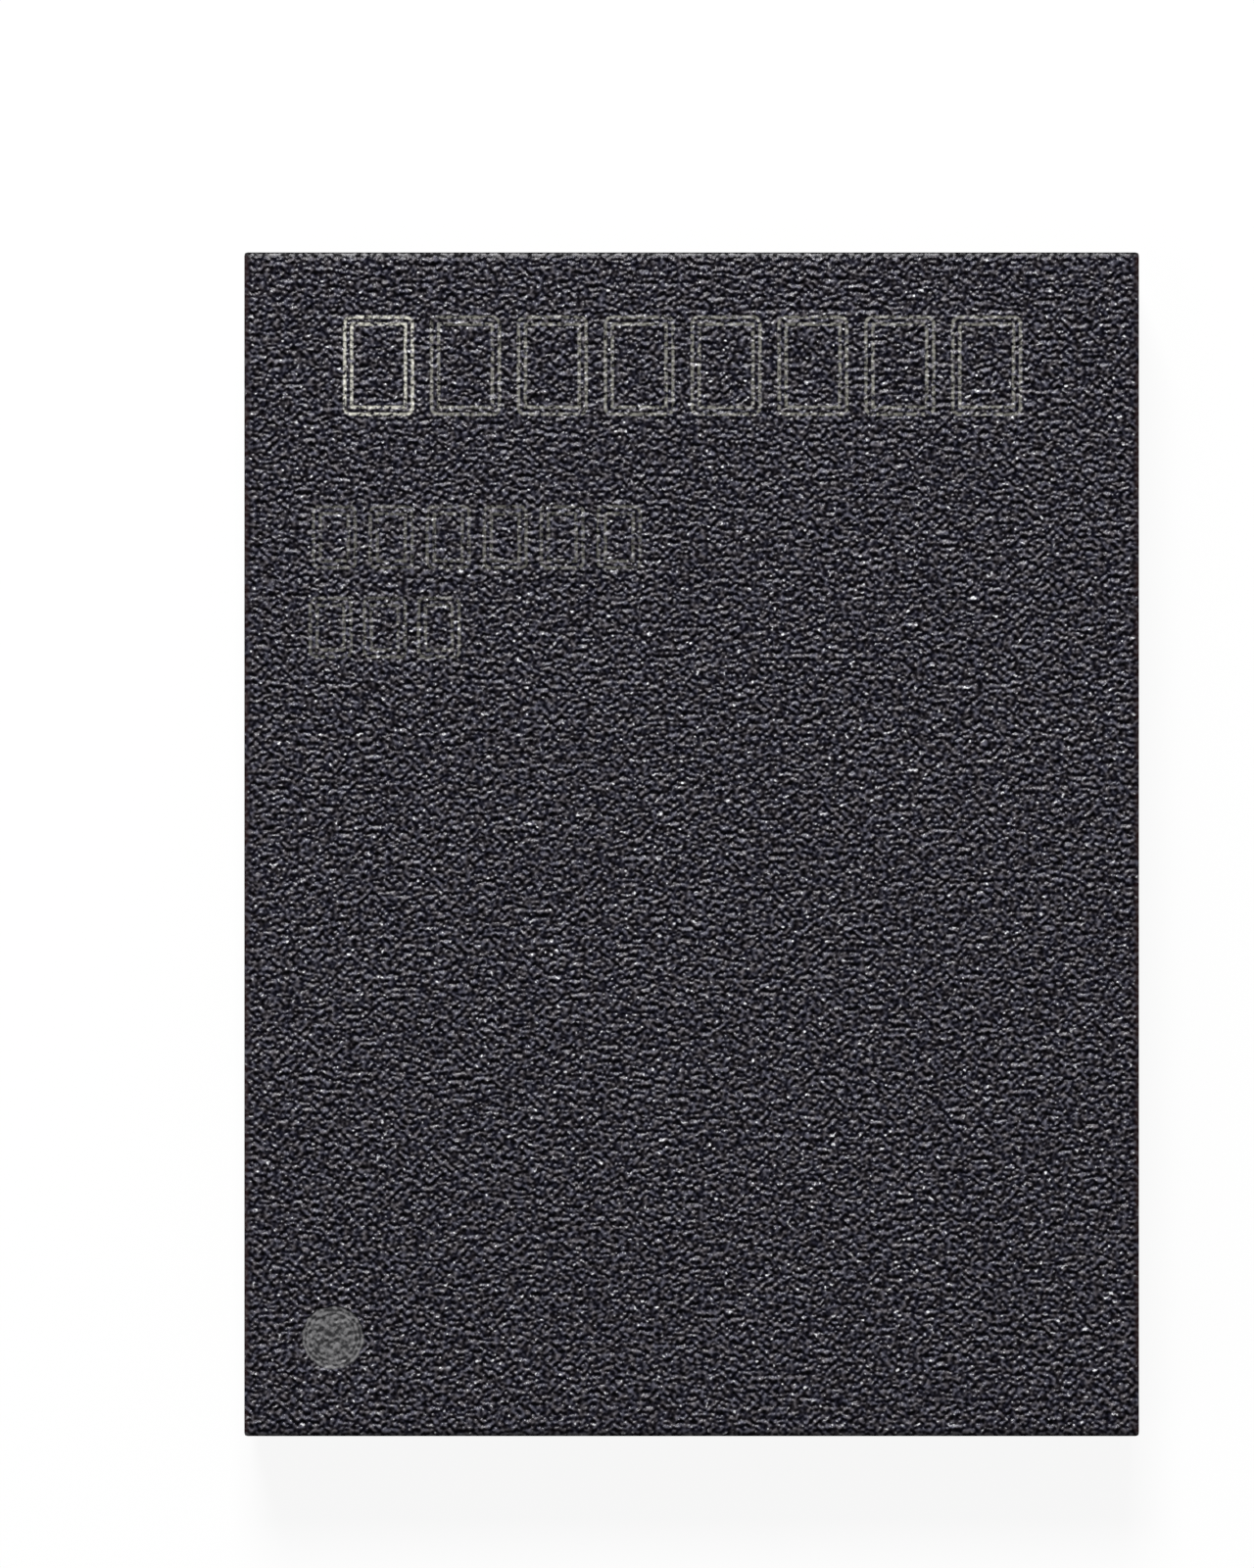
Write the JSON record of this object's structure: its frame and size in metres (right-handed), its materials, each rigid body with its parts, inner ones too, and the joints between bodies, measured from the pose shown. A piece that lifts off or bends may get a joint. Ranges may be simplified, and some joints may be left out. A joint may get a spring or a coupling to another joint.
{
  "type": "radio frequency transceiver chip",
  "caption": "Flat rectangular radio frequency transceiver chip: black moulded top with a corner dot, thin green laminate carrier and a staggered grid of solder balls below.",
  "frame": {"origin": "under the middle of the package, at the tips of the solder balls", "axes": "+X across the short side, +Y along the long side, +Z out of the moulded face; ball row A and the corner dot are at the corner of -X and -Y"},
  "size_m": [0.008, 0.0104, 0.0009],
  "materials": {
    "mould": "spark-eroded texture, charcoal moulding compound",
    "silicon": "ground silicon",
    "copper": "plated copper",
    "solder_mask": "satin dark green lacquer",
    "laminate": "brown resin with glass cloth",
    "solder": "grainy tin solder"
  },
  "bodies": {
    "root": {"mould_cap": "mould", "silicon_die": "silicon", "die_pillars": "copper", "bond_fingers": "copper", "top_solder_mask": "solder_mask", "upper_prepreg": "laminate", "finger_vias": "copper", "upper_copper_plane": "copper", "laminate_core": "laminate", "core_vias": "copper", "lower_copper_plane": "copper", "lower_prepreg": "laminate", "lower_vias": "copper", "bottom_copper": "copper", "bottom_solder_mask": "solder_mask", "balls_row_A": "solder", "balls_row_B": "solder", "balls_row_C": "solder", "balls_row_D": "solder", "balls_row_E": "solder", "balls_row_F": "solder", "balls_row_G": "solder", "balls_row_H": "solder", "balls_row_J": "solder", "balls_row_K": "solder", "balls_row_L": "solder", "balls_row_M": "solder", "balls_row_N": "solder", "balls_row_P": "solder", "balls_row_R": "solder", "balls_row_T": "solder", "balls_row_U": "solder", "balls_row_V": "solder", "balls_row_W": "solder", "balls_row_Y": "solder", "balls_row_AA": "solder", "balls_row_AB": "solder", "balls_row_AC": "solder", "balls_row_AD": "solder", "balls_row_AE": "solder", "balls_row_AF": "solder", "balls_row_AG": "solder", "balls_row_AH": "solder", "balls_row_AJ": "solder", "balls_row_AK": "solder", "balls_row_AL": "solder", "balls_row_AM": "solder", "balls_row_AN": "solder", "balls_row_AP": "solder", "balls_row_AR": "solder", "balls_row_AT": "solder"}
  },
  "joints": []
}
